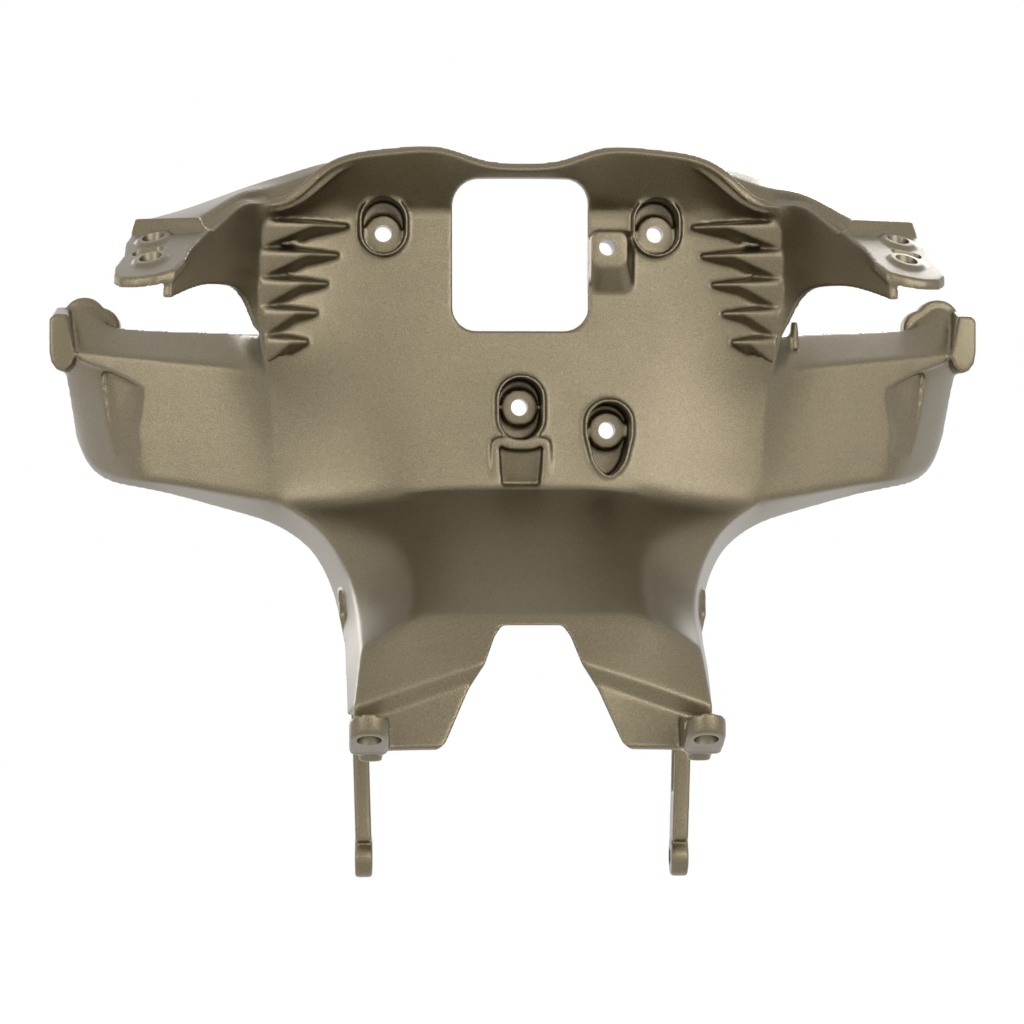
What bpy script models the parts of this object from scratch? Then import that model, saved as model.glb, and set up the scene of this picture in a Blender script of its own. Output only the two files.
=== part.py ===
# Fairing stay of a motorcycle: one hollow casting that is bolted to the front of the frame.
# A dished back plate carries the pockets for the frame bolts, a square window and two rows
# of gusset ribs. Two beams reach forward from its shoulders to drilled ears, two arms sweep
# out and back to the fairing pads, and a sloping floor runs forward to an apron with two feet.
# Two legs hang down behind the apron. In the values and tables below a point is (side,
# forward, height) in millimetres. The model itself is in metres, x to the side, y to the
# rear, z up.

import math

import bmesh
import bpy
from mathutils import Vector

MM = 0.001

# Shell
WALL = 3.6
SMOOTHING = 1

# Hood, the lip over the back plate
HOOD_FORWARD = 22.0
HOOD_NOTCH_HALF = 16.0
HOOD_NOTCH_HEIGHT = 134.9
HOOD_PEAK_HALF = 32.0
HOOD_PEAK_HEIGHT = 143.6
HOOD_SWELL = (52.0, 141.0)        # side and height of the rim between peak and shoulder
SHOULDER = (75.5, 139.0)
SHOULDER_DROP = (88.0, 21.0, 121.2)

# Back plate
PLATE_TOP = 120.5
PLATE_FLAT_HALF = 52.0
PLATE_DISH_HALF = 72.0
PLATE_BEND = 1.6                  # 1 for a straight plate, more for one that bends near its foot
PLATE_FOOT = (10.0, 6.5)          # forward and height of the corner with the floor
EDGE_TURN = 11.0                  # width of the upturned edge
SIDE_EDGE = [                     # from the beam down to the arm's lower corner
    (101.0, 19.5, 120.5),
    (102.5, 17.5, 115.0),
    (103.5, 16.0, 108.5),
    (104.5, 15.5, 99.0),
    (108.8, 19.5, 87.5),
    (104.0, 9.0, 69.5),
    (100.0, 0.0, 52.0),
    (98.5, -2.5, 36.0),
    (97.8, -4.0, 20.0),
    (97.5, -5.0, 4.5),
]

# Floor and apron
FLOOR_HALF = 44.0
FLOOR_FRONT = (90.0, -39.0)       # forward and height of the crease above the apron
FLOOR_RIM = [                     # share of the floor's length, then the rim's point
    (0.14, (87.7, 4.5, -1.0)),
    (0.34, (77.0, 17.5, -9.0)),
    (0.54, (68.0, 30.0, -26.0)),
    (0.76, (65.0, 52.0, -42.0)),
    (1.00, (64.5, 85.0, -51.5)),
]
APRON_SIDE = 67.0
STEP_TOP = (100.0, -50.5, -72.4)  # forward, height at the middle and height at the side
STEP_FOOT = (98.0, -55.0, -80.0)
LOBE_BOTTOM = (105.5, -87.5, -87.5)
SKIRT = [                         # rear edge of the side wall below the rim
    (100.5, -30.0, -4.0),
    (90.5, -25.0, -9.5),
    (81.5, -17.0, -17.0),
    (76.0, -8.0, -31.0),
    (70.5, 18.0, -48.0),
    (70.0, 58.0, -60.0),
    (69.5, 76.0, -77.0),
]

# Beams to the ears: upper and lower edge of the inner wall, from the plate forward
BEAM = [
    ((109.0, 33.0, 122.6), (115.5, 43.5, 88.0)),
    ((119.5, 51.0, 109.6), (122.5, 57.0, 87.6)),
    ((127.5, 69.0, 101.2), (127.8, 71.0, 85.0)),
    ((131.2, 82.0, 94.6), (131.8, 83.0, 82.3)),
    ((134.8, 92.5, 89.6), (135.2, 92.5, 79.8)),
]
CROWN_WALL = 2.6
CROWN = [                         # inner, dip, ridge, outer and hanging edge of the skin
    ((62.0, 18.5, 141.0), (62.0, 14.0, 138.5), (62.0, 8.0, 136.4), (60.0, 2.0, 136.0),
     (60.0, 1.0, 126.0)),
    ((74.0, 19.0, 137.0), (74.5, 14.0, 135.6), (73.0, 8.0, 138.6), (70.0, 0.0, 142.4),
     (71.5, -1.0, 132.0)),
    ((88.0, 18.4, 122.6), (88.5, 13.5, 121.0), (86.5, 8.0, 132.8), (88.0, -0.5, 136.8),
     (89.0, -1.5, 126.5)),
    ((101.0, 18.0, 119.6), (99.5, 14.5, 120.5), (98.0, 9.5, 128.6), (103.0, -1.0, 132.4),
     (104.5, -2.0, 121.5)),
    ((111.0, 32.0, 120.4), (110.6, 30.4, 123.4), (108.8, 28.0, 127.2), (118.0, 2.0, 126.3),
     (120.0, 1.0, 115.0)),
    ((121.6, 50.0, 107.6), (121.8, 48.6, 111.0), (121.8, 46.2, 116.6), (135.5, 12.0, 119.0),
     (137.5, 11.0, 107.5)),
    ((126.2, 55.0, 105.4), (126.4, 54.2, 109.0), (127.0, 52.6, 112.8), (150.6, 40.5, 112.8),
     (152.6, 39.5, 102.0)),
]

# Arms: side of the upper crease and how far the lower one lies inside it, height of the upper
# and lower crease, depth and rise of the upper band, depth and drop of the lower band
ARM_SWEEP = 22.0
ARM_TURN_SIDE = 169.0             # where the face turns back, at the upper crease
ARM_TURN_LEAN = 14.0
ARM_TURN = 46.0
ARM_SHARES = (0.0, 0.2, 0.6, 1.0)
ARM = [
    (113.0, 0.0, 58.5, 6.5, 19.0, 14.5, 26.0, 7.0),
    (136.0, 0.0, 60.8, 10.8, 19.0, 13.0, 18.0, 4.8),
    (157.0, 10.0, 63.0, 12.4, 18.0, 12.0, 11.0, 3.8),
    (169.0, 14.0, 64.4, 13.3, 17.5, 12.1, 8.0, 3.4),
    (177.0, 9.5, 65.2, 15.0, 17.0, 24.8, 5.0, 3.0),
    (182.5, 5.5, 65.4, 21.5, 16.0, 20.8, 4.0, 2.5),
    (186.2, 4.5, 64.2, 34.0, 14.0, 18.8, 4.0, 2.0),
]

# Frame bolts: pockets sunk in the plate, each with a boss behind it
BOLT_HOLE = 6.8
SEAT_FORWARD = -5.0               # where the bolt's flange bears
BOSS_REAR = -17.0                 # where the stay bears on the frame
CLEAR = 5.0                       # how far a cut runs on past what it cuts
POCKET_HALF = 8.3
POCKET_LIP = 1.9
POCKET_PROUD = 5.0
POCKETS = [                       # side and height of the hole, recess above and below it
    (-54.6, 111.6, 5.0, 0.0, False),
    (54.6, 111.6, 5.0, 0.0, False),
    (0.0, 42.0, 3.0, 4.6, False),
    (35.2, 32.8, 2.4, 1.0, True),
]
POCKET_POINT = 9.5                # how far the pointed pocket runs on below its round
CATCH = (0.0, 17.4, 16.6, 14.8)   # recess below the middle pocket: side, height, width, height
CATCH_FORWARD = 2.5
CATCH_CORNER = 2.5
CATCH_WALL = 3.0
STEP_BOSS = (28.0, 42.5, 97.6, 112.2)
STEP_BOSS_FORWARD = 8.0
STEP_BOSS_FOOT = 85.0
STEP_BOSS_HOLE = (34.6, 105.6)

# Window and the gap in the apron
WINDOW_HALF = 27.1
WINDOW_SILL = 72.4
WINDOW_LINTEL = 2.9               # how much of the hood's rim is left above the window
WINDOW_CORNER = 9.5
WINDOW_DEPTH = (-60.0, 60.0)
GAP = [
    (11.3, -42.6), (14.2, -46.6), (18.2, -57.0), (24.3, -66.5), (31.6, -83.0), (33.0, -86.0),
    (36.0, -88.6), (37.0, -100.0),
]
GAP_DEPTH = (60.0, 150.0)

# Gusset ribs in the dish
RIB_COUNT = 5
RIB_HEIGHTS = (113.9, 67.9)       # crest of the top and the bottom rib
RIB_TIPS = (68.6, 84.5)           # where the top and the bottom rib start
RIB_ENDS = (103.6, 99.4)
RIB_END_FORWARD = (16.5, 9.5)
RIB_CREST = 2.0
RIB_UNDER = 3.2                   # how far a rib's flanks spread below and above its crest
RIB_OVER = 6.5

# Ears: plates with three holes at the end of each beam. Sides and distances forward of their
# outlines count from the root, the corner where beam, step and plate meet.
EAR_ROOT = (122.9, 58.0, 107.8)
EAR_FALL = 0.43                   # towards the front
EAR_LEAN = 0.21                   # towards the outside
EAR_THICK = 4.2
EAR_OUTLINE = [
    (-1.6, -3.0), (3.4, 8.0), (5.9, 17.0), (7.4, 26.5), (10.9, 34.6), (18.5, 35.8),
    (25.6, 34.6), (31.3, 31.4), (34.3, 26.0), (34.6, 20.5), (33.2, 14.0), (31.6, 8.0),
    (31.9, -3.0), (29.7, -13.4), (28.6, -16.0),
]
EAR_STEP_FOOT = [(0.2, 0.3), (29.9, -12.7)]
EAR_STEP_TOP = [(3.2, -3.0), (28.3, -14.6)]
EAR_STEP_HEIGHT = 5.6
EAR_STEP_WALL = 4.0
EAR_HOLE_INSET = 20.7
EAR_HOLE = 8.5
EAR_HOLES = (-1.4, 19.8)
EAR_PAD = (6.6, 1.4)              # radius and height of the pad round a bolt hole
EAR_SLOT = (22.3, 9.2, 3.0, 5.8)  # side, forward, half of its length between centres, width

# Pads at the ends of the arms, the round bosses behind them and the tongue over the recess
END_PAD = [
    (182.6, 80.6), (179.4, 64.0), (181.0, 59.4), (184.4, 57.0), (187.4, 58.2), (189.6, 61.4),
    (190.3, 66.0), (190.3, 78.6), (188.3, 80.6),
]
END_PAD_FORWARD = (-37.0, -59.0)
END_PAD_RISE = 4.2                # how much higher its rear is
END_BOSSES = [(176.8, 79.2, 9.2), (169.8, 76.4, 7.6)]
END_BOSS_FORWARD = (-62.0, -52.0)
TONGUE = [(146.0, 61.6), (146.0, 46.4), (158.5, 53.8), (166.8, 57.7), (176.6, 60.9), (178.4, 62.6),
          (178.4, 65.2), (169.0, 64.2)]
TONGUE_DEPTH = 9.0
PIN = (112.0, -15.0, 66.0, 77.0, 2.2)

# Feet under the apron and legs behind it
FOOT_HOLE = (61.7, 130.0, -83.4)
FOOT_RISE = 0.44                  # towards the front
FOOT_RADIUS = 7.2
FOOT_THICK = 7.2
FOOT_BORE = 9.2
FOOT_REACH = 8.0
FOOT_ROOT = (100.0, 117.5, -89.4, -76.6)
FOOT_STUD = (61.0, 110.0, 4.4, -92.2)
LEG = [                           # height, side, rear and front edge, thickness
    (-26.0, 73.6, -11.0, 20.0, 5.0),
    (-40.0, 69.3, -11.0, 24.0, 6.4),
    (-54.0, 66.4, -8.0, 22.0, 6.4),
    (-70.0, 64.8, -3.0, 20.0, 6.4),
    (-92.0, 63.8, 1.5, 18.5, 6.4),
    (-112.0, 63.2, 3.2, 18.2, 6.4),
    (-130.0, 62.7, 3.6, 18.6, 6.4),
]
LEG_EYE = (62.6, 11.0, -137.0)
LEG_EYE_RADIUS = 8.0
LEG_EYE_THICK = 7.0
LEG_RECESS = 1.7
LEG_FLANGE = 3.4

# Sharpness of the folds, 0 for round and 1 for sharp
PLATE_CREASE = 0.55
RIM_CREASE = 0.9
ARM_CREASE = 0.75
STEP_CREASE = 0.9


def place(point):
    """Turn (side, forward, height) in millimetres into the model's metres."""
    side, forward, height = point
    return Vector((side, -forward, height)) * MM


def between(start, end, share):
    return tuple(a + (b - a) * share for a, b in zip(start, end))


class Cage:
    """Open sheet of four-sided faces, welded where points of its patches coincide."""

    def __init__(self):
        self.points = []
        self.faces = []
        self.known = {}
        self.folds = []

    def number(self, point):
        key = tuple(round(value, 2) + 0.0 for value in point)
        if key not in self.known:
            self.known[key] = len(self.points)
            self.points.append(place(point))
        return self.known[key]

    def patch(self, rows):
        """Add a grid, upper row first, and its mirror image on the other side."""
        for side in (1, -1):
            grid = [[self.number((side * x, y, z)) for x, y, z in row] for row in rows]
            for upper, lower in zip(grid, grid[1:]):
                for i in range(len(upper) - 1):
                    face = (upper[i], lower[i], lower[i + 1], upper[i + 1])
                    self.faces.append(face if side > 0 else face[::-1])

    def fold(self, line, sharpness):
        for side in (1, -1):
            numbers = [self.number((side * x, y, z)) for x, y, z in line]
            self.folds.extend((a, b, sharpness) for a, b in zip(numbers, numbers[1:]))

    def build(self, name):
        mesh = bpy.data.meshes.new(name)
        mesh.from_pydata(self.points, [], self.faces)
        sharpness = {frozenset((a, b)): value for a, b, value in self.folds}
        layer = mesh.attributes.new("crease_edge", "FLOAT", "EDGE")
        for edge in mesh.edges:
            layer.data[edge.index].value = sharpness.get(frozenset(edge.vertices), 0.0)
        obj = bpy.data.objects.new(name, mesh)
        bpy.context.collection.objects.link(obj)
        return obj


def thicken(obj, thickness):
    """Round the sheet with a subdivision surface and give it its wall, behind its front."""
    smooth = obj.modifiers.new("Round", "SUBSURF")
    smooth.levels = smooth.render_levels = SMOOTHING
    smooth.boundary_smooth = "PRESERVE_CORNERS"
    wall = obj.modifiers.new("Wall", "SOLIDIFY")
    wall.thickness = thickness * MM
    wall.offset = -1
    wall.use_even_offset = True


def plate_row(edge, height, lean):
    """One level of the back plate: flat in the middle, dished or falling to its edge."""
    side, forward, edge_height = edge
    flats = [0.0, HOOD_NOTCH_HALF, HOOD_PEAK_HALF, PLATE_FLAT_HALF]
    dished = forward > lean
    shares = (0.0, 0.16) if dished else (0.38, 0.72)
    sides = (PLATE_DISH_HALF, side - EDGE_TURN)
    row = [(x, lean, height) for x in flats]
    for x, share in zip(sides, shares):
        row.append((x, lean + (forward - lean) * share, height + (edge_height - height) * share))
    return row + [edge]


def plate_rows():
    foot_forward, foot_height = PLATE_FOOT
    rim = [(0.0, HOOD_FORWARD, HOOD_NOTCH_HEIGHT),
           (HOOD_NOTCH_HALF, HOOD_FORWARD, HOOD_NOTCH_HEIGHT),
           (HOOD_PEAK_HALF, HOOD_FORWARD, HOOD_PEAK_HEIGHT),
           (HOOD_SWELL[0], HOOD_FORWARD, HOOD_SWELL[1]),
           (SHOULDER[0], HOOD_FORWARD, SHOULDER[1]),
           SHOULDER_DROP]
    crease = plate_row(SIDE_EDGE[2], PLATE_TOP, 0.0)
    roof = [between(low, high, 0.45) for low, high in zip(crease, rim)]
    rows = [rim + [SIDE_EDGE[0]], roof + [SIDE_EDGE[1]], crease]
    for edge in SIDE_EDGE[3:-1]:
        rows.append(plate_row(edge, edge[2], plate_forward(edge[2])))
    foot = plate_row(SIDE_EDGE[-1], foot_height, foot_forward)
    foot[3] = (FLOOR_HALF + 3.0, foot_forward, foot_height - 0.4)
    rows.append(foot)
    return rows


def floor_rows():
    rows = []
    for share, rim in FLOOR_RIM:
        forward, height = between(PLATE_FOOT, FLOOR_FRONT, share)
        shoulder = (FLOOR_HALF, forward - 0.6, height - 0.8)
        row = [(x, forward, height) for x in (0.0, HOOD_NOTCH_HALF, HOOD_PEAK_HALF)]
        row += [shoulder, between(shoulder, rim, 0.36), between(shoulder, rim, 0.72), rim]
        rows.append(row)
    return rows


def apron_rows():
    sides = [0.0, HOOD_NOTCH_HALF, HOOD_PEAK_HALF, FLOOR_HALF, 52.0, 60.0, APRON_SIDE]
    rows = []
    for forward, middle, outside in (STEP_TOP, STEP_FOOT, LOBE_BOTTOM):
        heights = [middle + (outside - middle) * x / APRON_SIDE for x in sides]
        rows.append([(x, forward, z) for x, z in zip(sides, heights)])
    return rows


def arm_rows():
    """Upper band, front face and lower band of an arm, as one channel open to the rear."""
    root_side, root_forward, _ = SIDE_EDGE[-1]
    rows = [[edge] for edge in SIDE_EDGE[5:]] + [[SKIRT[0]]]
    for side, lean, upper, lower, upper_depth, rise, lower_depth, drop in ARM:
        for row, share in zip(rows[1:5], ARM_SHARES):
            x = side - lean * share
            forward = root_forward - (x - root_side) * math.tan(math.radians(ARM_SWEEP))
            if share > 0:
                turned = max(0.0, x - ARM_TURN_SIDE + ARM_TURN_LEAN * share)
                forward -= turned * math.tan(math.radians(ARM_TURN))
            row.append((x, forward, upper + (lower - upper) * share))
        crease, hem = rows[1][-1], rows[4][-1]
        rows[0].append((side, crease[1] - upper_depth, upper + rise))
        rows[5].append((hem[0], hem[1] - lower_depth, lower - drop))
    return rows


def beam_rows():
    heights = [edge[2] for edge in SIDE_EDGE[:5]]
    shares = [(heights[0] - z) / (heights[0] - heights[-1]) for z in heights]
    rows = []
    for edge, share in zip(SIDE_EDGE, shares):
        rows.append([edge] + [between(top, bottom, share) for top, bottom in BEAM])
    return rows


def make_shell():
    cage = Cage()
    body = plate_rows() + floor_rows() + apron_rows()
    cage.patch(body)
    arm = arm_rows()
    cage.patch(arm)
    beam = beam_rows()
    cage.patch(beam)
    rim = [row[-1] for row in body[len(SIDE_EDGE) - 1:]]
    cage.patch([[front, rear] for front, rear in zip(rim, SKIRT)])
    crease, foot = body[2], body[len(SIDE_EDGE) - 1]
    front = body[len(SIDE_EDGE) + len(FLOOR_RIM) - 1]
    cage.fold(crease[:5], PLATE_CREASE)
    cage.fold(foot[:4], PLATE_CREASE)
    cage.fold(front, PLATE_CREASE)
    cage.fold(body[-3], STEP_CREASE)
    cage.fold(body[-2], STEP_CREASE)
    cage.fold(rim, RIM_CREASE)
    for row in (arm[1], arm[4]):
        cage.fold(row, ARM_CREASE)
    cage.fold(SIDE_EDGE[4:7], PLATE_CREASE)
    shell = cage.build("shell")
    thicken(shell, WALL)
    return shell


def make_crowns():
    """Skin over each beam, from the hood's shoulder to the ear."""
    cage = Cage()
    inner, dip, ridge, outer, hem = zip(*CROWN)
    cage.patch([hem, outer, ridge, dip, inner])
    cage.fold(outer, ARM_CREASE)
    cage.fold(ridge, PLATE_CREASE)
    crowns = cage.build("crowns")
    thicken(crowns, CROWN_WALL)
    return crowns


def circle(side, height, radius, count=14):
    angles = [2 * math.pi * i / count for i in range(count)]
    return [(side + radius * math.cos(a), height + radius * math.sin(a)) for a in angles]


def stretched(side, low, high, radius, count=12):
    """A round stretched upright: half circles about its lower and its upper centre."""
    half = [math.pi * i / (count // 2) for i in range(count // 2 + 1)]
    upper = [(side + radius * math.cos(a), high + radius * math.sin(a)) for a in half]
    lower = [(side - radius * math.cos(a), low - radius * math.sin(a)) for a in half]
    return upper + lower


def rounded(left, right, low, high, corner, count=3):
    outline = []
    centres = [(right, high), (left, high), (left, low), (right, low)]
    for quarter, (x, z) in enumerate(centres):
        x += -corner if x == right else corner
        z += -corner if z == high else corner
        for i in range(count + 1):
            angle = math.pi / 2 * (quarter + i / count)
            outline.append((x + corner * math.cos(angle), z + corner * math.sin(angle)))
    return outline


def solid_from(name, bm):
    bmesh.ops.recalc_face_normals(bm, faces=bm.faces)
    mesh = bpy.data.meshes.new(name)
    bm.to_mesh(mesh)
    bm.free()
    obj = bpy.data.objects.new(name, mesh)
    bpy.context.collection.objects.link(obj)
    obj.hide_render = True
    obj.display_type = "WIRE"
    return obj


def lofted(name, sections):
    """Solid through sections that have the same number of points."""
    bm = bmesh.new()
    rings = [[bm.verts.new(place(point)) for point in section] for section in sections]
    for near, far in zip(rings, rings[1:]):
        for i in range(len(near)):
            j = (i + 1) % len(near)
            bm.faces.new((near[i], near[j], far[j], far[i]))
    bm.faces.new(rings[0])
    bm.faces.new(rings[-1])
    return solid_from(name, bm)


def facing(u, v, w):
    """Outline seen from the front, run along the depth."""
    return (u, w, v)


def falling(origin, fall, lean=0.0):
    """Outline in plan, run upright from a plane that falls to the front and to the outside."""
    side, forward, height = origin

    def put(u, v, w):
        return (u, v, height - (v - forward) * fall - (abs(u) - side) * lean + w)
    return put


def run(name, outline, start, end, put=facing, draft=0.0):
    """Extrude an outline from start to end, drawn in by draft at its end."""
    middle = [sum(values) / len(outline) for values in zip(*outline)]
    reach = max(math.dist(point, middle) for point in outline)
    scale = 1 - draft / reach
    tip = [between(middle, point, scale) for point in outline]
    sections = [[put(u, v, start) for u, v in outline], [put(u, v, end) for u, v in tip]]
    return lofted(name, sections)


def pocket_outline(pocket, grow):
    """Recess of a frame bolt: a stretched round, or one that runs to a point below."""
    side, height, above, below, pointed = pocket
    radius = POCKET_HALF + grow
    outline = stretched(side, height - below, height + above, radius)
    if pointed:
        low = height - below
        outline = [point for point in outline if point[1] >= low - radius * 0.45]
        outline.append((side + radius * 0.28, low - POCKET_POINT - radius * 0.5))
        outline.append((side - radius * 0.28, low - POCKET_POINT - radius * 0.5))
        outline.sort(key=lambda point: math.atan2(point[1] - low, point[0] - side))
    return outline


def plate_forward(height):
    """How far forward the middle of the back plate stands at a height."""
    forward, foot = PLATE_FOOT
    share = min(max((PLATE_TOP - height) / (PLATE_TOP - foot), 0.0), 1.0)
    return forward * share ** PLATE_BEND


def add_pockets(adds, cuts):
    for number, pocket in enumerate(POCKETS):
        side, height = pocket[:2]
        lip = plate_forward(height) + POCKET_PROUD
        boss = pocket_outline(pocket, POCKET_LIP)
        adds.append(run(f"pocket_boss_{number}", boss, BOSS_REAR, lip, draft=0.6))
        recess = pocket_outline(pocket, 0.0)
        cuts.append(run(f"pocket_recess_{number}", recess, HOOD_FORWARD + CLEAR, SEAT_FORWARD))
        hole = circle(side, height, BOLT_HOLE / 2)
        cuts.append(run(f"bolt_hole_{number}", hole, BOSS_REAR - CLEAR, SEAT_FORWARD + CLEAR))
    side, middle, width, height = CATCH
    low, high = middle - height / 2, middle + height / 2
    for grow, group, rear in ((CATCH_WALL, adds, CATCH_FORWARD - CATCH_WALL), (0.0, cuts, CATCH_FORWARD)):
        left, right = side - width / 2 - grow, side + width / 2 + grow
        outline = rounded(left, right, low - grow, high + grow, CATCH_CORNER + grow)
        front = plate_forward(low) + (CLEAR if group is cuts else -WALL / 2)
        group.append(run(f"catch_{len(group)}", outline, rear, front))


def add_step_boss(adds, cuts):
    left, right, low, high = STEP_BOSS
    face = rounded(left, right, low, high, 4.0)
    foot = [(x + (3.5 if x > (left + right) / 2 else 0), z if z > (low + high) / 2 else
             z - (low - STEP_BOSS_FOOT)) for x, z in face]
    sections = [[(x, BOSS_REAR, z) for x, z in foot], [(x, 0.0, z) for x, z in foot],
                [(x, STEP_BOSS_FORWARD, z) for x, z in face]]
    adds.append(lofted("step_boss", sections))
    hole = circle(*STEP_BOSS_HOLE, BOLT_HOLE / 2)
    cuts.append(run("step_boss_hole", hole, BOSS_REAR - CLEAR, STEP_BOSS_FORWARD + CLEAR))


def add_ribs(adds):
    for side in (1, -1):
        for number in range(RIB_COUNT):
            share = number / (RIB_COUNT - 1)
            height = RIB_HEIGHTS[0] + (RIB_HEIGHTS[1] - RIB_HEIGHTS[0]) * share
            tip = RIB_TIPS[0] + (RIB_TIPS[1] - RIB_TIPS[0]) * share
            end = RIB_ENDS[0] + (RIB_ENDS[1] - RIB_ENDS[0]) * share
            peak = RIB_END_FORWARD[0] + (RIB_END_FORWARD[1] - RIB_END_FORWARD[0]) * share
            low = plate_forward(height) + 0.6
            half = RIB_CREST / 2
            sections = []
            for part, embed, spread in ((0.0, 2.4, 0.1), (0.72, None, 0.8), (1.0, 5.0, 0.55)):
                x = tip + (end - tip) * part
                forward = low + (peak - low) * part
                root = low - 2.4 if embed is None else forward - embed
                sections.append([(side * x, forward, height + half),
                                 (side * x, forward, height - half),
                                 (side * x, root, height - half - RIB_UNDER * spread),
                                 (side * x, root, height + half + RIB_OVER * spread)])
            adds.append(lofted(f"rib_{number}_{side}", sections))


def add_ears(adds, cuts):
    put = falling(EAR_ROOT, EAR_FALL, EAR_LEAN)
    root_side, root_forward, root_height = EAR_ROOT
    radius, rise = EAR_PAD

    def level(line, height):
        front = [(side * (root_side + x), root_forward + y, height) for x, y in line]
        return front + [(x, y - EAR_STEP_WALL, z) for x, y, z in reversed(front)]
    for side in (1, -1):
        plate = [(side * (root_side + x), root_forward + y) for x, y in EAR_OUTLINE]
        adds.append(run(f"ear_{side}", plate, -EAR_THICK, 0.0, put))
        foot = level(EAR_STEP_FOOT, root_height - EAR_THICK)
        middle = level(EAR_STEP_FOOT, root_height)
        top = level(EAR_STEP_TOP, root_height + EAR_STEP_HEIGHT)
        adds.append(lofted(f"ear_step_{side}", [foot, middle, top]))
        for number, reach in enumerate(EAR_HOLES):
            centre_point = (side * (root_side + EAR_HOLE_INSET), root_forward + reach)
            adds.append(run(f"ear_pad_{number}_{side}", circle(*centre_point, radius),
                            -EAR_THICK / 2, rise, put))
            cuts.append(run(f"ear_hole_{number}_{side}", circle(*centre_point, EAR_HOLE / 2),
                            -EAR_THICK - CLEAR, rise + CLEAR, put))
        x, y, half, width = EAR_SLOT
        slot = stretched(root_forward + y, root_side + x - half, root_side + x + half, width / 2)
        slot = [(side * u, v) for v, u in slot]
        cuts.append(run(f"ear_slot_{side}", slot, -EAR_THICK - CLEAR, rise + CLEAR, put))


def add_arm_ends(adds):
    front, rear = END_PAD_FORWARD
    boss_rear, boss_front = END_BOSS_FORWARD
    root_side, root_forward, _ = SIDE_EDGE[-1]
    sweep = math.tan(math.radians(ARM_SWEEP))
    top = max(height for _, height in END_PAD)
    bottom = min(height for _, height in END_PAD)
    for side in (1, -1):
        face = [(side * x, front, z) for x, z in END_PAD]
        back = [(side * x, rear, z + END_PAD_RISE * (z - bottom) / (top - bottom)) for x, z in END_PAD]
        adds.append(lofted(f"end_pad_{side}", [face, back]))
        for number, (x, z, radius) in enumerate(END_BOSSES):
            boss = circle(side * x, z, radius)
            adds.append(run(f"end_boss_{number}_{side}", boss, boss_rear, boss_front))
        face = [(side * x, root_forward - (x - root_side) * sweep, z) for x, z in TONGUE]
        back = [(x, forward - TONGUE_DEPTH, z) for x, forward, z in face]
        adds.append(lofted(f"tongue_{side}", [face, back]))
    side, forward, low, high, radius = PIN
    adds.append(run("pin", circle(side, forward, radius, 12), low, high,
                    lambda u, v, w: (u, v, w), draft=0.6))


def add_feet(adds, cuts):
    middle, forward, _ = FOOT_HOLE
    put = falling(FOOT_HOLE, -FOOT_RISE)
    rear, front, low, high = FOOT_ROOT
    x, y, radius, end = FOOT_STUD
    for side in (1, -1):
        lug = stretched(side * middle, forward - FOOT_REACH, forward, FOOT_RADIUS)
        adds.append(run(f"foot_{side}", lug, 0.0, FOOT_THICK, put))
        left, right = side * middle - FOOT_RADIUS, side * middle + FOOT_RADIUS
        adds.append(run(f"foot_root_{side}", rounded(left, right, low, high, 2.0, 1), rear, front))
        adds.append(run(f"foot_stud_{side}", circle(side * x, y, radius), end, high,
                        lambda u, v, w: (u, v, w)))
        hole = circle(side * middle, forward, FOOT_BORE / 2)
        cuts.append(run(f"foot_bore_{side}", hole, -CLEAR, FOOT_THICK + CLEAR, put))


def add_legs(adds, cuts):
    for side in (1, -1):
        sections = []
        recesses = []
        for height, middle, rear, front, thick in LEG:
            inner, outer = side * (middle - thick / 2), side * (middle + thick / 2)
            sections.append([(inner, rear, height), (inner, front, height),
                             (outer, front, height), (outer, rear, height)])
            deep = side * (middle - thick / 2 + LEG_RECESS)
            clear = side * (middle - thick / 2 - CLEAR)
            recesses.append([(clear, rear + LEG_FLANGE, height), (clear, front - LEG_FLANGE, height),
                             (deep, front - LEG_FLANGE, height), (deep, rear + LEG_FLANGE, height)])
        adds.append(lofted(f"leg_{side}", sections))
        cuts.append(lofted(f"leg_recess_{side}", recesses[2:-1]))
        x, forward, height = LEG_EYE

        def across(u, v, w):
            return (side * (x + w), u, v)
        eye = circle(forward, height, LEG_EYE_RADIUS)
        half = LEG_EYE_THICK / 2
        adds.append(run(f"leg_eye_{side}", eye, -half, half, across))
        bore = circle(forward, height, BOLT_HOLE / 2)
        cuts.append(run(f"leg_bore_{side}", bore, -half - CLEAR, half + CLEAR, across))


def add_openings(cuts):
    lintel = HOOD_NOTCH_HEIGHT - WINDOW_LINTEL
    window = rounded(-WINDOW_HALF, WINDOW_HALF, WINDOW_SILL, lintel, WINDOW_CORNER)
    cuts.append(run("window", window, *WINDOW_DEPTH))
    gap = GAP + [(-x, z) for x, z in reversed(GAP)]
    cuts.append(run("apron_gap", gap, *GAP_DEPTH))


def gather(name, objects):
    """Put helpers in a collection of their own for a Boolean to read."""
    group = bpy.data.collections.new(name)
    bpy.context.scene.collection.children.link(group)
    for obj in objects:
        bpy.context.collection.objects.unlink(obj)
        group.objects.link(obj)
    return group


def combine(obj, operation, group):
    step = obj.modifiers.new(operation.title(), "BOOLEAN")
    step.operation = operation
    step.operand_type = "COLLECTION"
    step.collection = group
    step.solver = "EXACT"


def paint():
    material = bpy.data.materials.new("bronze_paint")
    material.use_nodes = True
    shader = material.node_tree.nodes["Principled BSDF"]
    shader.inputs["Base Color"].default_value = (0.19, 0.155, 0.10, 1.0)
    shader.inputs["Metallic"].default_value = 0.6
    shader.inputs["Roughness"].default_value = 0.42
    return material


def clear_scene():
    for obj in list(bpy.data.objects):
        bpy.data.objects.remove(obj, do_unlink=True)


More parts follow.
